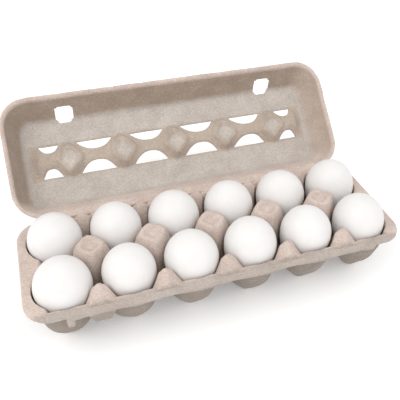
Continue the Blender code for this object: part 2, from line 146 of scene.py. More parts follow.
# Colours of the pulp, with light and shade painted in: PULP_TOP is its pale colour where light falls on top; darker
# copies are painted shade down in the cups, on the front flange and skirt, on the tray's underside and tabs, and on the
# lid's walls, and a paler copy is painted light on the lid's right end wall. The lid's panel and ridge have colours of
# their own, and the lid's outer face is darker.
PULP_TOP = (0.680, 0.562, 0.502)
PULP_CUP_SHADE = (0.520, 0.415, 0.335)
PULP_FRONT_SHADE = (0.510, 0.440, 0.395)
PULP_UNDER_SHADE = (0.315, 0.268, 0.228)
PULP_PANEL = (0.595, 0.540, 0.492)
PULP_WALL_SHADE = (0.415, 0.335, 0.272)
PULP_RIGHT_WALL_LIGHT = (0.560, 0.465, 0.395)
PULP_RIDGE = (0.550, 0.462, 0.390)
PULP_OUTSIDE = (0.500, 0.420, 0.360)

# How uneven the pulp is, and how much of that is left where the rims meet.
WAVE_DEPTH = 0.00035
LUMP_DEPTH = 0.00012
RIM_SHARE = 0.15

# How fine the meshes are.
POINTS_PER_SIDE = 28
WALL_RINGS = 16
RIDGE_RINGS = 9
FLAT_RINGS = 5
ROUND_RINGS = 5
LIP_RINGS = 4
LID_COLUMN = 0.0012
LID_BANDS = (11, 6, 5)
LID_WALL_RINGS = 22

# The eggs, front row then back row, left to right: width and length.
EGG_SIZES = (
    ((0.0422, 0.0560), (0.0404, 0.0535), (0.0418, 0.0540), (0.0414, 0.0570), (0.0406, 0.0560), (0.0414, 0.0580)),
    ((0.0422, 0.0560), (0.0410, 0.0545), (0.0422, 0.0560), (0.0412, 0.0545), (0.0416, 0.0555), (0.0418, 0.0600)),
)
EGG_ROWS = ("front", "back")
LARGE_END_SHARE = 0.40
EGG_POINTING = 0.07
EGG_SEGMENTS = 48
EGG_RINGS = 32
MOST_LEAN_DEG = 2.0


# --- Small numeric helpers ---

def smooth_min(a, b, blend):
    """The lower of two surfaces, with the crease between them rounded over the given height."""
    share = np.clip(0.5 + 0.5 * (b - a) / blend, 0.0, 1.0)
    return b * (1.0 - share) + a * share - blend * share * (1.0 - share)


def smooth_max(a, b, blend):
    return -smooth_min(-a, -b, blend)


def smooth_step(x, start, end):
    t = np.clip((x - start) / (end - start), 0.0, 1.0)
    return t * t * (3.0 - 2.0 * t)


def lattice_values(ix, iy, iz, seed):
    """A repeatable value from 0 to 1 for each lattice corner."""
    mix = (ix.astype(np.int64) * 73856093) ^ (iy.astype(np.int64) * 19349663) ^ (iz.astype(np.int64) * 83492791)
    mix = (mix ^ (seed * 2654435761)) & 0xFFFFFFFF
    mix = ((mix ^ (mix >> 15)) * 2246822519) & 0xFFFFFFFF
    mix = ((mix ^ (mix >> 13)) * 3266489917) & 0xFFFFFFFF
    return ((mix ^ (mix >> 16)) & 0xFFFFFF) / float(0xFFFFFF)


def noise(points, size, seed):
    """Smooth noise from -1 to 1 with features of about the given size."""
    q = points / size
    base = np.floor(q).astype(np.int64)
    f = q - base
    f = f * f * (3.0 - 2.0 * f)
    total = np.zeros(len(points))
    for dx in (0, 1):
        for dy in (0, 1):
            for dz in (0, 1):
                weight = (f[:, 0] if dx else 1 - f[:, 0]) * (f[:, 1] if dy else 1 - f[:, 1])
                weight = weight * (f[:, 2] if dz else 1 - f[:, 2])
                total += weight * lattice_values(base[:, 0] + dx, base[:, 1] + dy, base[:, 2] + dz, seed)
    return 2.0 * total - 1.0


# --- Meshes from sheets of points ---

class Sheet:
    """A surface collected as rows of points, whose faces point to the side that shows."""

    def __init__(self):
        self.points = []
        self.faces = []
        self.count = 0

    def add_points(self, rows):
        """Adds rows of points (rows, points in a row, 3) and returns their numbers."""
        rows = np.asarray(rows, dtype=float)
        numbers = np.arange(rows.shape[0] * rows.shape[1]).reshape(rows.shape[:2]) + self.count
        self.points.append(rows.reshape(-1, 3))
        self.count += numbers.size
        return numbers

    def add_quads(self, numbers, closed, keep=None):
        """Faces between neighbouring rows. keep says which of them to make."""
        lower, upper = numbers[:-1], numbers[1:]
        if closed:
            lower_next, upper_next = np.roll(lower, -1, axis=1), np.roll(upper, -1, axis=1)
        else:
            lower_next, upper_next = lower[:, 1:], upper[:, 1:]
            lower, upper = lower[:, :-1], upper[:, :-1]
        quads = np.stack([lower, upper, upper_next, lower_next], axis=-1)
        self.faces.append(quads[keep] if keep is not None else quads.reshape(-1, 4))

    def welded(self):
        """Points and faces with coincident points joined. A face that lost a corner has -1 in its last place."""
        points = np.concatenate(self.points)
        faces = np.concatenate(self.faces)
        keys = np.round(points / 2e-6).astype(np.int64)
        _, first, index = np.unique(keys, axis=0, return_index=True, return_inverse=True)
        faces = index.reshape(-1)[faces]
        points = points[first]
        same = faces == np.roll(faces, -1, axis=1)
        lost = same.sum(axis=1)
        whole = faces[lost == 0]
        short = []
        for quad, repeat in zip(faces[lost == 1], same[lost == 1]):
            short.append([*(c for c, r in zip(quad, repeat) if not r), -1])
        if short:
            whole = np.concatenate([whole, np.array(short)])
        return points, whole


def face_triangles(faces):
    quads = faces[faces[:, 3] >= 0]
    return np.concatenate([quads[:, [0, 1, 2]], quads[:, [0, 2, 3]], faces[faces[:, 3] < 0][:, :3]])


def point_normals(points, faces):
    triangles = face_triangles(faces)
    across = np.cross(points[triangles[:, 1]] - points[triangles[:, 0]], points[triangles[:, 2]] - points[triangles[:, 0]])
    normals = np.zeros_like(points)
    for corner in range(3):
        np.add.at(normals, triangles[:, corner], across)
    return normals / np.maximum(np.linalg.norm(normals, axis=1, keepdims=True), 1e-12)


def open_edges(faces):
    """Edges that only one face uses, in that face's direction, with the point opposite each."""
    starts, ends, inside = [], [], []
    for corners in (faces[faces[:, 3] >= 0], faces[faces[:, 3] < 0][:, :3]):
        for k in range(corners.shape[1] if len(corners) else 0):
            starts.append(corners[:, k])
            ends.append(corners[:, (k + 1) % corners.shape[1]])
            inside.append(corners[:, (k + 2) % corners.shape[1]])
    starts, ends, inside = map(np.concatenate, (starts, ends, inside))
    size = int(max(starts.max(), ends.max())) + 1
    forward = starts.astype(np.int64) * size + ends
    backward = ends.astype(np.int64) * size + starts
    single = ~np.isin(forward, backward)
    return starts[single], ends[single], inside[single]


def thick_mesh(name, points, faces, thickness, lowest=None):
    """A closed mesh from a sheet: its back is parallel to it, and its edges are rounded."""
    normals = point_normals(points, faces)
    back = points - normals * thickness[:, None]
    if lowest is not None:
        back[:, 2] = np.maximum(back[:, 2], lowest)
    starts, ends, inside = open_edges(faces)
    outward = np.zeros_like(points)
    middle = 0.5 * (points[starts] + points[ends])
    along = points[ends] - points[starts]
    away = middle - points[inside]
    away -= along * ((away * along).sum(1) / np.maximum((along * along).sum(1), 1e-18))[:, None]
    away /= np.maximum(np.linalg.norm(away, axis=1, keepdims=True), 1e-12)
    np.add.at(outward, starts, away)
    np.add.at(outward, ends, away)
    edge = np.unique(np.concatenate([starts, ends]))
    length = np.maximum(np.linalg.norm(outward[edge], axis=1, keepdims=True), 1e-12)
    outward[edge] /= length
    count = len(points)
    middle_of = np.full(count, -1)
    rows = []
    for share, bulge in ((0.22, 0.32), (0.5, 0.45), (0.78, 0.32)):
        between = points[edge] * (1 - share) + back[edge] * share + outward[edge] * thickness[edge, None] * bulge
        middle_of = middle_of.copy()
        middle_of[edge] = 2 * count + len(edge) * len(rows) + np.arange(len(edge))
        rows.append((between, middle_of))
    all_points = np.concatenate([points, back] + [r[0] for r in rows])
    quads = faces[faces[:, 3] >= 0]
    triangles = faces[faces[:, 3] < 0][:, :3]
    polygons = [quads, quads[:, ::-1] + count]
    ladder = [np.arange(count)] + [r[1] for r in rows] + [np.arange(count) + count]
    for upper, lower in zip(ladder, ladder[1:]):
        polygons.append(np.stack([upper[ends], upper[starts], lower[starts], lower[ends]], axis=1))
    quads = np.concatenate(polygons)
    triangles = np.concatenate([triangles, triangles[:, ::-1] + count]) if len(triangles) else triangles
    mesh = bpy.data.meshes.new(name)
    mesh.from_pydata(all_points.tolist(), [], quads.tolist() + triangles.tolist())
    mesh.shade_smooth()
    return mesh


def keep_inside(mesh, node):
    """Holds every point of a mesh inside the box of the CAD node that it replaces."""
    low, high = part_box(node)
    points = np.array([v.co for v in mesh.vertices])
    points = np.clip(points, np.array(low), np.array(high))
    mesh.vertices.foreach_set("co", points.reshape(-1).astype(np.float32))


def blend_colors(a, b, share):
    """Colours between a and b, each one colour or one for each point."""
    share = np.asarray(share, dtype=float)[:, None]
    return np.asarray(a) * (1.0 - share) + np.asarray(b) * share


def set_tint(mesh, colors):
    """Stores the pulp's colour at each point, with its painted shade and light."""
    rgba = np.column_stack([colors, np.ones(len(colors))])
    layer = mesh.attributes.new("shaded_tint", "FLOAT_COLOR", "POINT")
    layer.data.foreach_set("color", rgba.reshape(-1).astype(np.float32))


def make_object(name, mesh, material):
    obj = bpy.data.objects.new(name, mesh)
    bpy.context.scene.collection.objects.link(obj)
    mesh.materials.append(material)
    return obj


def rumpled(points, faces, seed, share=1.0):
    """The points moved along their normals as moulded pulp is uneven: long waves and small lumps."""
    normals = point_normals(points, faces)
    offset = WAVE_DEPTH * noise(points, 0.023, seed) + 0.5 * WAVE_DEPTH * noise(points, 0.009, seed + 1)
    offset += LUMP_DEPTH * noise(points, 0.0034, seed + 2)
    return points + normals * (share * offset)[:, None]


# --- Tray ---

def cup_profile_table():
    """Radii and wall heights of a cup, with the corners of its profile rounded."""
    radii = np.arange(0.0, 0.0240, 0.0001)
    heights = np.interp(radii, [r for _, r in CUP_PROFILE], [z for z, _ in CUP_PROFILE])
    kernel = np.hanning(31)
    kernel /= kernel.sum()
    padded = np.concatenate([np.full(15, heights[0]), heights, heights[-1] + 0.0006 * np.arange(1, 16)])
    return radii, np.convolve(padded, kernel, mode="valid")


CUP_RADII, CUP_HEIGHTS = cup_profile_table()


def cup_wall_height(dx, dy):
    """Height of a cup's wall at an offset from its centre: square feet that turn round higher up."""
    radius = np.hypot(dx, dy)
    z = np.interp(radius, CUP_RADII, CUP_HEIGHTS)
    power = FOOT_SQUARENESS + (2.0 - FOOT_SQUARENESS) * np.clip(z / ROUND_ABOVE, 0.0, 1.0)
    square = (np.abs(dx) ** power + np.abs(dy) ** power) ** (1.0 / power)
    beyond = np.maximum(0.0, square - CUP_RADII[-1])
    return np.interp(square, CUP_RADII, CUP_HEIGHTS) + 8.0 * beyond


def diamond_reach(x, y, half_diagonal):
    """Distance from the centre of a diamond with rounded corners, where 1 is its edge."""
    return (np.abs(x) ** DIAMOND + np.abs(y) ** DIAMOND) ** (1.0 / DIAMOND) / half_diagonal


def ridge_height(x, y):
    """Height of the sheet where no cup cuts into it: saddles, posts, half posts and the flange."""
    post_x = CUP_PITCH * np.clip(np.round(x / CUP_PITCH), -2, 2)
    along = np.abs(x - post_x)
    reach = diamond_reach(along, y, POST_HALF_DIAGONAL)
    post = POST_HEIGHT - POST_FALL * (reach - 1.0)
    post = smooth_min(np.full_like(post, POST_HEIGHT), post, 0.0035)
    post = post - POST_DIMPLE * (1.0 - smooth_step(reach, 0.34, 0.62))
    height = smooth_max(np.full_like(post, SADDLE_HEIGHT), post, 0.006)
    out = np.abs(y) - HALF_POST_Y
    out = np.where(out < 0.0, HALF_POST_STEEP * out, out)
    from_peak = np.hypot(np.hypot(along, out), HALF_POST_ROUNDING) - HALF_POST_ROUNDING
    height = smooth_max(height, HALF_POST_HEIGHT - HALF_POST_SLOPE * from_peak, 0.004)
    from_end = np.maximum(0.0, CELLS_HALF_LENGTH - np.abs(x))
    ledge = RIM_HEIGHT - LEDGE_FALL * np.maximum(0.0, from_end - END_LEDGE)
    height = np.where(from_end < 0.02, smooth_max(height, ledge, 0.003), height)
    valley = VALLEY_DEPTH * (1.0 - smooth_step(along, 0.003, 0.011)) * smooth_step(from_end, 0.004, 0.012)
    flange = RIM_HEIGHT - valley - 3.0 * np.maximum(0.0, ROW_PITCH - 0.0030 - np.abs(y))
    return smooth_max(height, flange, 0.0015)


def tray_surface(x, y, cup_x, cup_y):
    return smooth_min(cup_wall_height(x - cup_x, y - cup_y), ridge_height(x, y), 0.0030)


def cell_directions():
    """Unit directions from a cup's centre to evenly spaced points on its cell's edge, anticlockwise."""
    steps = np.arange(POINTS_PER_SIDE) / POINTS_PER_SIDE
    ramp = 2.0 * steps - 1.0
    one = np.ones(POINTS_PER_SIDE)
    right = np.stack([one, ramp], axis=1)
    back = np.stack([-ramp, one], axis=1)
    square = np.concatenate([right, back, -right, -back])
    edge = square * np.array([CUP_PITCH / 2, ROW_PITCH / 2])
    reach = np.linalg.norm(edge, axis=1)
    return edge / reach[:, None], reach


def rounded_reach(cup, directions, reach):
    """Shortens the directions that run past the rounded corner of the block of cells."""
    corner = np.array([math.copysign(CELLS_HALF_LENGTH - CELLS_CORNER, cup[0]),
                       math.copysign(ROW_PITCH - CELLS_CORNER, cup[1])])
    tips = cup + directions * reach[:, None]
    beyond = (np.abs(tips[:, 0]) > abs(corner[0])) & (np.abs(tips[:, 1]) > abs(corner[1]))
    offset = cup - corner
    b = directions @ offset
    c = offset @ offset - CELLS_CORNER ** 2
    short = -b + np.sqrt(np.maximum(b * b - c, 0.0))
    return np.where(beyond, short, reach)


def wall_top(cup, directions, reach):
    """Distance from the cup's centre at which its wall meets the ridge."""
    low, high = np.full(len(reach), 0.006), reach.copy()
    for _ in range(30):
        middle = 0.5 * (low + high)
        offset = directions * middle[:, None]
        below = cup_wall_height(offset[:, 0], offset[:, 1]) < ridge_height(cup[0] + offset[:, 0], cup[1] + offset[:, 1])
        low, high = np.where(below, middle, low), np.where(below, high, middle)
    return np.minimum(low, reach - 0.0010)


def wall_distances(directions, heights):
    """Distance from the cup's centre at which its wall reaches each height, in each direction."""
    low, high = np.zeros(len(directions)), np.full(len(directions), 0.030)
    for _ in range(26):
        middle = 0.5 * (low + high)
        below = cup_wall_height(directions[:, 0] * middle, directions[:, 1] * middle) < heights
        low, high = np.where(below, middle, low), np.where(below, high, middle)
    return low


def cup_rows(cup, directions, full_reach):
    """Rings of points round one cup, evenly spaced up its wall, from its foot out to its cell's edge."""
    reach = rounded_reach(cup, directions, full_reach)
    top = wall_top(cup, directions, reach)
    top_z = cup_wall_height(directions[:, 0] * top, directions[:, 1] * top)
    lengths = np.concatenate([[0.0], np.cumsum(np.hypot(np.diff(CUP_RADII), np.diff(CUP_HEIGHTS)))])
    foot_radius = CUP_PROFILE[1][1]
    start = np.interp(foot_radius, CUP_RADII, lengths)
    wall_lengths = np.interp(top_z, CUP_HEIGHTS, lengths) - start
    rows = [np.full(len(top), s * foot_radius) for s in (0.1, 0.5, 0.8)]
    for k in range(WALL_RINGS):
        heights = np.interp(start + wall_lengths * k / WALL_RINGS, lengths, CUP_HEIGHTS)
        rows.append(np.minimum(np.maximum(wall_distances(directions, heights), 0.95 * foot_radius), top))
    for k in range(RIDGE_RINGS + 1):
        share = (k / RIDGE_RINGS) ** 1.3
        rows.append(top + share * (reach - top))
    result = []
    for distance in rows:
        x = cup[0] + directions[:, 0] * distance
        y = cup[1] + directions[:, 1] * distance
        result.append(np.stack([x, y, tray_surface(x, y, cup[0], cup[1])], axis=1))
    return np.array(result)


def rounded_outline(point, inner, outer):
    """Moves a point on one rounded rectangle to the matching point of another. Each is given as
    (half length, near side, far side, corner radius). Straight stretches keep their X or Y."""
    half_in, near_in, far_in, r_in = inner
    half_out, near_out, far_out, r_out = outer
    x, y = point
    side_x = math.copysign(1.0, x)
    far_side = y > 0.5 * (near_in + far_in)
    beyond_x = abs(x) - (half_in - r_in)
    beyond_y = max(y - (far_in - r_in), (near_in + r_in) - y)
    if beyond_x > 1e-7 and beyond_y > 1e-7:
        angle = math.atan2(beyond_y, beyond_x)
        reach_x = half_out - r_out + r_out * math.cos(angle)
        reach_y = r_out * math.sin(angle)
        return side_x * reach_x, far_out - r_out + reach_y if far_side else near_out + r_out - reach_y
    if beyond_y > 1e-7:
        straight_in, straight_out = half_in - r_in, half_out - r_out
        ease = max(0.0, abs(x) / straight_in - 0.85) / 0.15
        return x * (1.0 + ease * (straight_out / straight_in - 1.0)), far_out if far_side else near_out
    middle_in, middle_out = 0.5 * (near_in + far_in), 0.5 * (near_out + far_out)
    scale = (far_out - near_out - 2 * r_out) / (far_in - near_in - 2 * r_in)
    return side_x * half_out, middle_out + (y - middle_in) * scale


def block_edge(points):
    """The points on the outside of the block of cells, once each, anticlockwise from the right end."""
    over_x = np.maximum(0.0, np.abs(points[:, 0]) - (CELLS_HALF_LENGTH - CELLS_CORNER))
    over_y = np.maximum(0.0, np.abs(points[:, 1]) - (ROW_PITCH - CELLS_CORNER))
    edge = points[np.hypot(over_x, over_y) > CELLS_CORNER - 1e-6]
    _, first = np.unique(np.round(edge[:, :2] / 2e-6).astype(np.int64), axis=0, return_index=True)
    edge = edge[first]
    spare = CELLS_HALF_LENGTH - ROW_PITCH
    right, left = edge[edge[:, 0] > spare], edge[edge[:, 0] < -spare]
    between = edge[np.abs(edge[:, 0]) <= spare]
    right = right[np.argsort(np.arctan2(right[:, 1], right[:, 0] - spare))]
    left = left[np.argsort(np.arctan2(left[:, 1], left[:, 0] + spare) % (2 * math.pi))]
    back = between[between[:, 1] > 0]
    front = between[between[:, 1] < 0]
    return np.concatenate([right, back[np.argsort(-back[:, 0])], left, front[np.argsort(front[:, 0])]])


def skirt_drop(x, y):
    """How far the rim's edge hangs down at a point of the outline, without the latch tabs."""
    if y > TRAY_FRONT + 1e-4 or abs(x) > SKIRT_HALF_LENGTH:
        return LIP_DEPTH
    wave = math.cos(2 * math.pi * x / CUP_PITCH)
    return SKIRT_DEPTH - SKIRT_WAVE * wave


def flange_rows(edge):
    """Rings from the block of cells to the tray's edge, over its rounding and down its lip."""
    inner = (CELLS_HALF_LENGTH, -ROW_PITCH, ROW_PITCH, CELLS_CORNER)

    def outline(inset):
        back = TRAY_BACK - BACK_ROUNDING * inset
        outer = (TRAY_HALF_LENGTH - inset, TRAY_FRONT + inset, back, TRAY_CORNER - inset)
        return np.array([rounded_outline(p[:2], inner, outer) for p in edge])

    rows = [edge]
    shoulder = outline(EDGE_RADIUS)
    for k in range(1, FLAT_RINGS + 1):
        share = k / FLAT_RINGS
        flat = edge[:, :2] * (1 - share) + shoulder * share
        z = edge[:, 2] + (RIM_HEIGHT - edge[:, 2]) * smooth_step(np.full(len(edge), share), 0.0, 1.0)
        rows.append(np.column_stack([flat, z]))
    for k in range(1, ROUND_RINGS + 1):
        turn = 0.5 * math.pi * k / ROUND_RINGS
        ring = outline(EDGE_RADIUS * (1 - math.sin(turn)))
        rows.append(np.column_stack([ring, np.full(len(edge), RIM_HEIGHT - EDGE_RADIUS * (1 - math.cos(turn)))]))
    final = rows[-1]
    drops = np.array([skirt_drop(x, y) for x, y, _ in final])
    for k in range(1, LIP_RINGS + 1):
        share = k / LIP_RINGS
        z = RIM_HEIGHT - EDGE_RADIUS - share * (drops - EDGE_RADIUS)
        rows.append(np.column_stack([final[:, :2], z]))
    return np.array(rows), drops


def tab_rows(last_row, centre_x, half_top, half_tip, length, bend):
    """Rows of points of a tapered tab that hangs from the skirt's lower edge, bent in by an angle."""
    on_tab = np.abs(last_row[:, 0] - centre_x) < half_top + 0.0009
    hem = last_row[on_tab & (last_row[:, 1] < TRAY_FRONT + 1e-4)]
    hem = hem[np.argsort(hem[:, 0])]
    rows = [hem]
    steps = 7
    for k in range(1, steps + 1):
        share = k / steps
        squeeze = 1.0 + share * (half_tip / half_top - 1.0)
        x = centre_x + (hem[:, 0] - centre_x) * squeeze
        turn = bend * min(1.0, 2.5 * share)
        drop = share * (length + hem[:, 2] - hem[:, 2].min())
        rows.append(np.column_stack([x, hem[:, 1] + drop * math.sin(turn), hem[:, 2] - drop * math.cos(turn)]))
    return np.array(rows)


def make_tray(material):
    sheet = Sheet()
    directions, reach = cell_directions()
    cells = []
    for row in (-0.5, 0.5):
        for k in range(CUPS_PER_ROW):
            cup = np.array([(k - 0.5 * (CUPS_PER_ROW - 1)) * CUP_PITCH, row * ROW_PITCH])
            rings = cup_rows(cup, directions, reach)
            cells.append(rings[-1])
            numbers = sheet.add_points(rings)
            sheet.add_quads(numbers, closed=True)
            centre = sheet.add_points(np.broadcast_to(rings[0].mean(axis=0), rings[:1].shape))
            sheet.add_quads(np.concatenate([centre, numbers[:1]]), closed=True)
    rows, drops = flange_rows(block_edge(np.concatenate(cells)))
    sheet.add_quads(sheet.add_points(rows), closed=True)
    for centre_x, half_top, half_tip, length, bend in TABS:
        tab = tab_rows(rows[-1], centre_x, half_top, half_tip, length, bend)
        sheet.add_quads(sheet.add_points(tab), closed=False)
    points, faces = sheet.welded()
    outside = np.hypot(np.maximum(0.0, np.abs(points[:, 0]) - (CELLS_HALF_LENGTH - CELLS_CORNER)),
                       np.maximum(0.0, np.abs(points[:, 1]) - (ROW_PITCH - CELLS_CORNER)))
    at_rim = smooth_step(outside, CELLS_CORNER - 0.006, CELLS_CORNER - 0.001) * (points[:, 2] > RIM_HEIGHT - 0.002)
    points = rumpled(points, faces, seed=11, share=1.0 - (1.0 - RIM_SHARE) * at_rim)
    thickness = PULP * (1.0 + 0.15 * noise(points, 0.006, 17))
    mesh = thick_mesh("tray_pulp", points, faces, thickness, lowest=0.0)
    co = np.array([v.co for v in mesh.vertices])
    # Painted shade: the pulp darkens down in the cups and stays pale at the top, where the light falls.
    colors = blend_colors(PULP_CUP_SHADE, PULP_TOP, smooth_step(co[:, 2], 0.034, 0.047))
    # Painted shade on the front flange and skirt, which face away from the light above.
    front_shade = smooth_step(TRAY_FRONT + 0.0070 - co[:, 1], 0.0, 0.0030)
    colors = blend_colors(colors, PULP_FRONT_SHADE, front_shade * smooth_step(RIM_HEIGHT + 0.0020 - co[:, 2], 0.0, 0.0015))
    # Painted shade on the tray's underside, the cups' feet included, and at 0.8 on the tabs that hang in the skirt's
    # shadow.
    underside_shade = np.zeros(len(co))
    underside_shade[len(points):2 * len(points)] = 1.0
    on_tab = smooth_step(TRAY_FRONT + 0.0060 - co[:, 1], 0.0, 0.001) * smooth_step(0.0425 - co[:, 2], 0.0, 0.001)
    on_tab *= np.abs(co[:, 0]) < 0.110
    set_tint(mesh, blend_colors(colors, PULP_UNDER_SHADE, np.maximum(underside_shade, 0.8 * on_tab)))
    mesh.transform(Matrix.Translation((0.0, TRAY_Y, 0.0)))
    keep_inside(mesh, "tray")
    tray = make_object("tray_pulp", mesh, material)
    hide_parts("tray")
    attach(tray, "tray")
    return tray


# --- Lid ---

def window_edge(x):
    """Distance of the windows' curved edge, or of the bosses' flank, from the lid's middle line at X."""
    span = RIDGE_HALF_FOOT - RIDGE_HALF_TOP
    share = np.abs((np.abs(x) % CUP_PITCH) - CUP_PITCH / 2) / WINDOW_HALF_LENGTH
    edge = RIDGE_HALF_TOP + span * np.minimum(share, 1.0) ** 2.3
    past = np.clip((share - 1.0) / (CUP_PITCH / 2 / WINDOW_HALF_LENGTH - 1.0), 0.0, 1.0)
    edge = np.where(share > 1.0, RIDGE_HALF_FOOT - 0.004 * np.sin(0.5 * math.pi * past), edge)
    middle = 0.5 * (END_WINDOW[0] + END_WINDOW[1])
    end_share = np.abs(np.abs(x) - middle) / (middle - END_WINDOW[0])
    end_edge = RIDGE_HALF_TOP + 0.0022 + (span - 0.0022) * np.minimum(end_share, 1.0) ** 2.6
    return np.where(np.abs(x) > 2 * CUP_PITCH + 0.0001, np.where(end_share > 1.0, RIDGE_HALF_FOOT - 0.002, end_edge), edge)


def in_window(x):
    """Whether X lies in the run of a window."""
    plain = np.abs((np.abs(x) % CUP_PITCH) - CUP_PITCH / 2) < WINDOW_HALF_LENGTH
    at_end = (np.abs(x) > END_WINDOW[0]) & (np.abs(x) < END_WINDOW[1])
    return np.where(np.abs(x) > 2 * CUP_PITCH, at_end, plain)


def lid_depth(x, t):
    """Depth of the lid's inner face at X and at a distance t from its middle line."""
    boss_x = CUP_PITCH * np.clip(np.round(x / CUP_PITCH), -2, 2)
    end_fade = 1.0 - smooth_step(np.abs(x), END_WINDOW[1] - 0.001, RIDGE_END)
    side = 1.0 - smooth_step(np.abs(t), RIDGE_HALF_TOP - 0.0025, RIDGE_HALF_FOOT + 0.0010)
    band = RIDGE_HEIGHT * side * end_fade
    reach = diamond_reach(x - boss_x, t, BOSS_HALF_DIAGONAL)
    boss = BOSS_HEIGHT * (1.0 - BOSS_FALL * (reach - 1.0))
    boss = smooth_min(np.full_like(boss, BOSS_HEIGHT), boss, 0.0030)
    height = smooth_max(band, boss, 0.0020)
    height = smooth_max(height, np.zeros_like(height), 0.0012)
    recess = BOSS_RECESS * (1.0 - smooth_step(reach, 0.60, 0.78))
    return LID_DEPTH - height + recess


def lid_columns():
    """X of each line across the panel, with lines at the windows' ends."""
    half_length, _, _, corner = lid_outlines()[0]
    stops = {0.0, END_WINDOW[0], END_WINDOW[1], half_length - corner, half_length}
    for k in range(2):
        middle = (k + 0.5) * CUP_PITCH
        stops |= {middle - WINDOW_HALF_LENGTH, middle, middle + WINDOW_HALF_LENGTH}
    stops |= {CUP_PITCH, 2 * CUP_PITCH}
    stops = sorted(stops | {-s for s in stops})
    columns = [stops[0]]
    for a, b in zip(stops, stops[1:]):
        count = max(1, round((b - a) / LID_COLUMN))
        columns += [a + (b - a) * (k + 1) / count for k in range(count)]
    return np.array(columns)


def lid_row_table(columns):
    """Distances from the hinge of the points on each line across the lid, and which bands are windows."""
    flat, curve, top = LID_BANDS
    edge = window_edge(columns)
    _, near, far, _ = lid_outlines()[0]
    near_gap = (RIDGE_MIDDLE - RIDGE_HALF_FOOT) - near
    far_gap = far - (RIDGE_MIDDLE + RIDGE_HALF_FOOT)
    rows = [np.full(len(columns), near + near_gap * k / flat) for k in range(flat)]
    rows += [RIDGE_MIDDLE - RIDGE_HALF_FOOT + (RIDGE_HALF_FOOT - edge) * k / curve for k in range(curve)]
    rows += [RIDGE_MIDDLE - edge * (1 - k / top) for k in range(top)]
    rows += [RIDGE_MIDDLE + edge * k / top for k in range(top)]
    rows += [RIDGE_MIDDLE + edge + (RIDGE_HALF_FOOT - edge) * k / curve for k in range(curve)]
    rows += [np.full(len(columns), RIDGE_MIDDLE + RIDGE_HALF_FOOT + far_gap * k / flat) for k in range(flat + 1)]
    window_bands = set(range(flat, flat + curve))
    window_bands |= set(range(flat + curve + 2 * top, flat + 2 * curve + 2 * top))
    return np.array(rows), window_bands


def squeeze_into_corners(x, u):
    """Squares the panel's grid with its rounded corners: points near a corner move in along both axes."""
    half_length, near, far, corner = lid_outlines()[0]
    half_u, middle_u = 0.5 * (far - near), 0.5 * (far + near)
    v = u - middle_u
    over_x = np.clip((np.abs(x) - (half_length - corner)) / corner, 0.0, 1.0)
    over_v = np.clip((np.abs(v) - (half_u - corner)) / corner, 0.0, 1.0)
    longest = np.maximum(np.maximum(over_x, over_v), 1e-9)
    pull = longest / np.maximum(np.hypot(over_x, over_v), 1e-9)
    both = (over_x > 0) & (over_v > 0)
    new_x = np.where(both, np.sign(x) * (half_length - corner + corner * over_x * pull), x)
    new_v = np.where(both, np.sign(v) * (half_u - corner + corner * over_v * pull), v)
    return new_x, new_v + middle_u


def lid_outlines():
    """The outlines (half length, near side, far side, corner radius) of the panel, the inner rim and the rim."""
    rim = (LID_HALF_LENGTH, LID_NEAR, LID_WIDTH, LID_CORNER)
    inner_rim = (LID_HALF_LENGTH - LID_RIM, LID_NEAR + LID_RIM, LID_WIDTH - LID_RIM, LID_CORNER - LID_RIM)
    corner = (PANEL_HALF_LENGTH, PANEL_NEAR, PANEL_FAR, PANEL_CORNER)
    half = WALL_FILLET / 2
    panel = tuple((p - half * r) / (1.0 - half) for p, r in zip(corner, inner_rim))
    return panel, inner_rim, rim


def lid_wall_levels():
    """Outlines and depths of the rings from the panel's edge up the flared walls and over the rim."""
    panel, inner_rim, rim = lid_outlines()
    levels = []
    for k in range(1, LID_WALL_RINGS + 1):
        t = k / LID_WALL_RINGS
        fillet = WALL_FILLET
        rise = (t * t / (2 * fillet) if t < fillet else t - fillet / 2) / (1 - fillet / 2)
        depth = LID_DEPTH + rise * (RIM_DEPTH - LID_DEPTH)
        bow = 4.0 * t * (1.0 - t)
        shares = (t + WALL_BULGE_ENDS * bow, t + WALL_BULGE_SIDES * bow, t + WALL_BULGE_SIDES * bow, t)
        levels.append((tuple(a + s * (b - a) for a, b, s in zip(panel, inner_rim, shares)), depth))
    for k in range(1, 4):
        t = k / 3
        outline = tuple(a + t * (b - a) for a, b in zip(inner_rim, rim))
        levels.append((outline, RIM_DEPTH * (1.0 - t) ** 2))
    return panel, levels


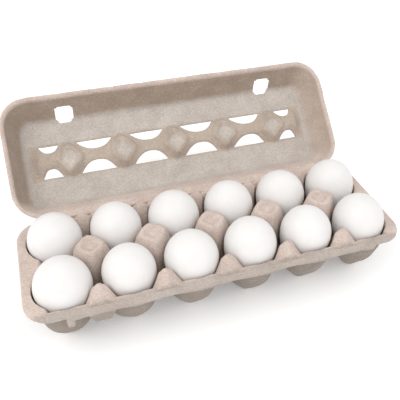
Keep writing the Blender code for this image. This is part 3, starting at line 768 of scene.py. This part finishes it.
def make_lid(material):
    """The lid lies open side up in its own frame, Y away from the hinge, and is then tipped back."""
    sheet = Sheet()
    columns = lid_columns()
    table, window_bands = lid_row_table(columns)
    x = np.broadcast_to(columns, table.shape)
    depth = lid_depth(x, table - RIDGE_MIDDLE)
    px, pu = squeeze_into_corners(x, table)
    grid = np.stack([px, pu, -depth], axis=-1)
    numbers = sheet.add_points(grid)
    centres = 0.5 * (columns[1:] + columns[:-1])
    keep = np.ones((len(table) - 1, len(centres)), dtype=bool)
    for band in window_bands:
        keep[band] = ~in_window(centres)
    sheet.add_quads(numbers[:, ::-1], closed=False, keep=keep[:, ::-1])
    edge = np.concatenate([grid[0], grid[1:, -1], grid[-1, -2::-1], grid[-2:0:-1, 0]])
    panel, levels = lid_wall_levels()
    rows = [edge]
    for outline, level_depth in levels:
        ring = np.array([rounded_outline((p[0], p[1]), panel, outline) for p in edge])
        rows.append(np.column_stack([ring, np.full(len(edge), -level_depth)]))
    rows = np.array(rows)
    worn = np.maximum(0.0, noise(rows[-4:].reshape(-1, 3), 0.0050, 5)).reshape(4, -1)
    rows[-4:, :, 2] -= RIM_WEAR * worn
    at_hinge = 1.0 - smooth_step(rows[-4:, :, 1], 0.004, 0.010)
    rows[-4:, :, 2] -= 0.0014 * at_hinge
    middle_x = 0.5 * (rows[:-1, :, 0] + np.roll(rows[:-1, :, 0], -1, axis=1))
    middle_z = 0.5 * (rows[:-1, :, 2] + rows[1:, :, 2])
    far = rows[:-1, :, 1] > panel[2] - 0.001
    across = np.minimum(*(np.abs(middle_x - x) for x in SLOTS_X)) / SLOT_HALF_WIDTH
    up = np.abs(-middle_z - np.mean(SLOT_DEPTHS)) / (0.5 * (SLOT_DEPTHS[1] - SLOT_DEPTHS[0]))
    slot = far & (across ** SLOT_SQUARENESS + up ** SLOT_SQUARENESS < 1.0)
    sheet.add_quads(sheet.add_points(rows), closed=True, keep=~slot)
    points, faces = sheet.welded()
    at_rim = smooth_step(points[:, 2], -0.005, -0.002)
    points = rumpled(points, faces, seed=23, share=1.0 - (1.0 - RIM_SHARE) * at_rim)
    thickness = PULP * (1.0 + 0.15 * noise(points, 0.006, 29))
    mesh = thick_mesh("lid_pulp", points, faces, thickness)
    co = np.array([v.co for v in mesh.vertices])
    raised = LID_DEPTH + co[:, 2]
    inner = (np.abs(co[:, 1] - RIDGE_MIDDLE) < RIDGE_HALF_FOOT + 0.004) & (np.abs(co[:, 0]) < PANEL_HALF_LENGTH)
    late = 0.005 * smooth_step(-co[:, 1], -0.020, -0.012)
    walls = smooth_step(raised - late, 0.0010, 0.0060)
    from_foot = np.maximum(np.abs(co[:, 1] - RIDGE_MIDDLE) - RIDGE_HALF_FOOT, np.abs(co[:, 0]) - RIDGE_END)
    walls = np.maximum(walls, 0.85 * smooth_step(BROWN_BAND - from_foot, 0.0, 0.0010))
    # Painted shade on the lid's walls, turning to painted light on its right end wall.
    wall_shade_and_light = blend_colors(PULP_WALL_SHADE, PULP_RIGHT_WALL_LIGHT, smooth_step(co[:, 0], 0.120, 0.136))
    colors = blend_colors(PULP_PANEL, np.where(inner[:, None], PULP_RIDGE, wall_shade_and_light), walls)
    colors = blend_colors(colors, PULP_TOP, np.maximum(0.9 * smooth_step(co[:, 2], -0.004, -0.001), late / 0.005 * walls))
    boss_x = CUP_PITCH * np.clip(np.round(co[:, 0] / CUP_PITCH), -2, 2)
    reach = diamond_reach(co[:, 0] - boss_x, co[:, 1] - RIDGE_MIDDLE, BOSS_HALF_DIAGONAL)
    colors = blend_colors(colors, PULP_PANEL, 0.9 * (1.0 - smooth_step(reach, 0.55, 0.75)))
    colors[len(points):2 * len(points)] = PULP_OUTSIDE
    set_tint(mesh, colors)
    mesh.transform(Matrix.Translation(HINGE) @ Matrix.Rotation(OPEN_ANGLE, 4, "X"))
    keep_inside(mesh, "lid")
    lid = make_object("lid_pulp", mesh, material)
    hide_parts("lid")
    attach(lid, "lid")
    return lid


def make_hinge(material):
    """The strip of creased pulp that joins the tray's back edge to the lid's near wall."""
    xs = np.linspace(-HINGE_HALF_LENGTH, HINGE_HALF_LENGTH, 181)
    stops_y = [y for y, _ in HINGE_PATH]
    stops_z = [z for _, z in HINGE_PATH]
    path_y = np.linspace(stops_y[0], stops_y[-1], 15)
    path_z = np.interp(path_y, stops_y, stops_z)
    path_z[1:-1] = (path_z[:-2] + 2 * path_z[1:-1] + path_z[2:]) / 4
    rows = np.array([[(x, HINGE.y + y, HINGE.z + z) for x in xs] for y, z in zip(path_y, path_z)])
    sheet = Sheet()
    sheet.add_quads(sheet.add_points(rows[:, ::-1]), closed=False)
    points, faces = sheet.welded()
    points = rumpled(points, faces, seed=31, share=0.4)
    mesh = thick_mesh("hinge_crease", points, faces, np.full(len(points), 0.0009))
    set_tint(mesh, np.tile(PULP_TOP, (len(mesh.vertices), 1)))
    hinge = make_object("hinge_crease", mesh, material)
    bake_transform(hinge)
    return hinge


# --- Eggs ---

def make_egg(name, width, length, material, centre, lean, seed):
    """A smooth egg, large end up, with the slight unevenness of a real shell."""
    turns = np.linspace(0.0, 2 * math.pi, EGG_SEGMENTS, endpoint=False)
    rows = []
    for k in range(EGG_RINGS + 1):
        polar = math.pi * k / EGG_RINGS
        z = -math.cos(polar)
        radius = math.sin(polar) * width / 2 * (1.0 if z > 0.0 else 1.0 - EGG_POINTING * z * z)
        height = z * length * (LARGE_END_SHARE if z > 0.0 else 1.0 - LARGE_END_SHARE)
        rows.append(np.column_stack([radius * np.cos(turns), radius * np.sin(turns), np.full(EGG_SEGMENTS, height)]))
    sheet = Sheet()
    sheet.add_quads(sheet.add_points(np.array(rows))[::-1], closed=True)
    points, faces = sheet.welded()
    points = points * (1.0 + 0.0035 * noise(points, 0.020, seed))[:, None]
    quads = faces[faces[:, 3] >= 0].tolist()
    caps = faces[faces[:, 3] < 0][:, :3].tolist()
    mesh = bpy.data.meshes.new(name)
    mesh.from_pydata(points.tolist(), [], quads + caps)
    mesh.shade_smooth()
    mesh.transform(Matrix.Translation(centre) @ Euler(lean).to_matrix().to_4x4())
    return make_object(name, mesh, material)


def make_eggs(material):
    most = math.radians(MOST_LEAN_DEG)
    for row, sizes in enumerate(EGG_SIZES):
        for k, (width, length) in enumerate(sizes):
            centre = Vector(((k - 0.5 * (CUPS_PER_ROW - 1)) * CUP_PITCH, TRAY_Y + (row - 0.5) * ROW_PITCH, RIM_HEIGHT))
            lean = (most * math.sin(2.1 * k + row), most * math.cos(1.7 * k + 2 * row), 0.0)
            node = f"egg_{EGG_ROWS[row]}_{k + 1}"
            egg = make_egg(f"{node}_shell", width, length, material, centre, lean, seed=40 + 10 * row + k)
            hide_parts(node)
            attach(egg, "tray")


# --- Materials ---

class Nodes:
    """A short way to add and link shader nodes."""

    def __init__(self, name):
        self.material = bpy.data.materials.new(name)
        self.material.use_nodes = True
        self.tree = self.material.node_tree
        self.shader = self.tree.nodes["Principled BSDF"]

    def add(self, kind, **settings):
        node = self.tree.nodes.new(kind)
        for key, value in settings.items():
            if key in node.inputs:
                node.inputs[key].default_value = value
            else:
                setattr(node, key, value)
        return node

    def link(self, source, target):
        self.tree.links.new(source, target)

    def noise(self, place, scale, detail=3.0, roughness=0.6):
        node = self.add("ShaderNodeTexNoise", Scale=scale, Detail=detail, Roughness=roughness)
        self.link(place, node.inputs["Vector"])
        return node.outputs["Fac"]

    def ramp(self, source, stops):
        node = self.add("ShaderNodeValToRGB")
        ramp = node.color_ramp
        while len(ramp.elements) < len(stops):
            ramp.elements.new(0.5)
        for element, (position, color) in zip(ramp.elements, stops):
            element.position = position
            element.color = (*color, 1.0)
        self.link(source, node.inputs["Fac"])
        return node.outputs["Color"]

    def mix(self, kind, share, a, b):
        node = self.add("ShaderNodeMix", data_type="RGBA", blend_type=kind)
        for value, index in ((share, 0), (a, 6), (b, 7)):
            if hasattr(value, "links"):
                self.link(value, node.inputs[index])
            else:
                node.inputs[index].default_value = value
        return node.outputs[2]


def grey(value):
    return (value, value, value)


def pulp_material():
    """Moulded paper pulp: warm grey, mottled, with fine fibres, darker specks and a felted surface."""
    n = Nodes("moulded_pulp")
    place = n.add("ShaderNodeTexCoord").outputs["Object"]
    blotches = n.noise(place, 55.0, 4.0, 0.62)
    mottling = n.ramp(blotches, ((0.32, (0.860, 0.845, 0.830)), (0.70, (1.06, 1.06, 1.06))))
    # The per-point colour, with painted shade and light in it.
    shaded_tint = n.add("ShaderNodeAttribute", attribute_name="shaded_tint").outputs["Color"]
    base = n.mix("MULTIPLY", 1.0, shaded_tint, mottling)
    fibres_place = n.add("ShaderNodeMapping")
    fibres_place.inputs["Scale"].default_value = (1.0, 2.6, 1.7)
    n.link(place, fibres_place.inputs["Vector"])
    fibres = n.noise(fibres_place.outputs["Vector"], 520.0, 5.0, 0.72)
    fibre_tone = n.ramp(fibres, ((0.36, grey(0.78)), (0.66, grey(1.12))))
    color = n.mix("MULTIPLY", 1.0, base, fibre_tone)
    specks = n.noise(place, 900.0, 2.0, 0.5)
    speck_mask = n.ramp(specks, ((0.70, grey(0.0)), (0.78, grey(1.0))))
    color = n.mix("MIX", speck_mask, color, (0.33, 0.26, 0.21, 1.0))
    n.link(color, n.shader.inputs["Base Color"])
    lumps = n.noise(place, 240.0, 4.0, 0.65)
    relief = n.add("ShaderNodeMath", operation="MULTIPLY_ADD")
    relief.inputs[1].default_value = 0.55
    n.link(fibres, relief.inputs[0])
    n.link(lumps, relief.inputs[2])
    bump = n.add("ShaderNodeBump", Strength=0.85, Distance=0.0008)
    n.link(relief.outputs[0], bump.inputs["Height"])
    n.link(bump.outputs["Normal"], n.shader.inputs["Normal"])
    n.shader.inputs["Roughness"].default_value = 0.96
    n.shader.inputs["Specular IOR Level"].default_value = 0.12
    n.shader.inputs["Sheen Weight"].default_value = 0.12
    n.shader.inputs["Sheen Roughness"].default_value = 0.6
    return n.material


def shell_material():
    """White hen's eggshell: satin, with the faintest warm mottling and fine pores."""
    n = Nodes("white_eggshell")
    place = n.add("ShaderNodeTexCoord").outputs["Object"]
    mottling = n.noise(place, 90.0, 3.0, 0.55)
    color = n.ramp(mottling, ((0.3, (0.790, 0.772, 0.758)), (0.7, (0.820, 0.806, 0.795))))
    n.link(color, n.shader.inputs["Base Color"])
    pores = n.noise(place, 1500.0, 2.0, 0.5)
    bump = n.add("ShaderNodeBump", Strength=0.10, Distance=0.0002)
    n.link(pores, bump.inputs["Height"])
    n.link(bump.outputs["Normal"], n.shader.inputs["Normal"])
    n.shader.inputs["Roughness"].default_value = 0.48
    n.shader.inputs["Specular IOR Level"].default_value = 0.30
    n.shader.inputs["Subsurface Weight"].default_value = 0.12
    n.shader.inputs["Subsurface Radius"].default_value = (0.004, 0.003, 0.0025)
    n.shader.inputs["Subsurface Scale"].default_value = 1.0
    return n.material


def floor_material():
    n = Nodes("pale_floor")
    place = n.add("ShaderNodeTexCoord").outputs["Object"]
    color = n.ramp(n.noise(place, 3.0, 2.0, 0.5), ((0.0, (0.90, 0.90, 0.90)), (1.0, (0.92, 0.92, 0.92))))
    n.link(color, n.shader.inputs["Base Color"])
    n.shader.inputs["Roughness"].default_value = 0.9
    n.shader.inputs["Emission Color"].default_value = (1.0, 1.0, 1.0, 1.0)
    n.shader.inputs["Emission Strength"].default_value = 0.20
    return n.material


# --- Floor, light and camera ---

FLOOR_HALF = 4.0
FLOOR_Z = -0.0001


def make_floor(material):
    mesh = bpy.data.meshes.new("floor")
    corners = ((-FLOOR_HALF, -FLOOR_HALF), (FLOOR_HALF, -FLOOR_HALF), (FLOOR_HALF, FLOOR_HALF), (-FLOOR_HALF, FLOOR_HALF))
    mesh.from_pydata([(x, y, FLOOR_Z) for x, y in corners], [], [(0, 1, 2, 3)])
    make_object("floor", mesh, material)


def add_light(name, place, size, power, color):
    light = bpy.data.lights.new(name, "AREA")
    light.shape = "DISK"
    light.size = size
    light.energy = power
    light.color = color
    obj = bpy.data.objects.new(name, light)
    obj.location = place
    obj.rotation_euler = (Vector((0.0, 0.0, 0.04)) - Vector(place)).to_track_quat("-Z", "Y").to_euler()
    bpy.context.scene.collection.objects.link(obj)


def light_scene():
    world = bpy.data.worlds.new("studio")
    bpy.context.scene.world = world
    world.use_nodes = True
    background = world.node_tree.nodes["Background"]
    background.inputs["Color"].default_value = (1.0, 1.0, 1.0, 1.0)
    background.inputs["Strength"].default_value = 0.88
    add_light("key", (-1.00, -0.40, 1.20), 1.2, 8.0, (1.0, 0.985, 0.965))
    add_light("fill", (0.55, -0.80, 1.20), 1.2, 3.2, (0.99, 0.99, 1.0))
    bpy.context.scene.view_settings.view_transform = "Standard"


# The camera, as found from the outlines of the eggs and the carton: lengths are in cup pitches from the
# middle of the cups at the height of the rim.
CAMERA_AZIMUTH = math.radians(-19.175)
CAMERA_ELEVATION = math.radians(37.957)
CAMERA_ROLL = math.radians(1.360)
CAMERA_DISTANCE = 9.0514
CAMERA_SIDE = -0.1358
CAMERA_UP = 0.7201
FOCAL_SHARE = 1.3522
CENTRE_SHIFT = (-0.00684, -0.03373)


def make_camera():
    az, el = CAMERA_AZIMUTH, CAMERA_ELEVATION
    back = Vector((math.sin(az) * math.cos(el), -math.cos(az) * math.cos(el), math.sin(el)))
    level = Vector((0, 0, 1)).cross(back).normalized()
    upright = back.cross(level)
    side = level * math.cos(CAMERA_ROLL) + upright * math.sin(CAMERA_ROLL)
    up = upright * math.cos(CAMERA_ROLL) - level * math.sin(CAMERA_ROLL)
    middle = Vector((0.0, TRAY_Y, RIM_HEIGHT))
    place = middle + CUP_PITCH * (back * CAMERA_DISTANCE + side * CAMERA_SIDE + up * CAMERA_UP)
    data = bpy.data.cameras.new("camera")
    data.sensor_width = 36.0
    data.lens = 36.0 * FOCAL_SHARE
    data.shift_x, data.shift_y = CENTRE_SHIFT
    data.clip_start = 0.01
    camera = bpy.data.objects.new("camera", data)
    turn = Matrix((side, up, back)).transposed()
    camera.matrix_world = Matrix.Translation(place) @ turn.to_4x4()
    bpy.context.scene.collection.objects.link(camera)
    bpy.context.scene.camera = camera


make_camera()
pulp = pulp_material()
make_tray(pulp)
make_lid(pulp)
make_hinge(pulp)
make_eggs(shell_material())
make_floor(floor_material())
light_scene()
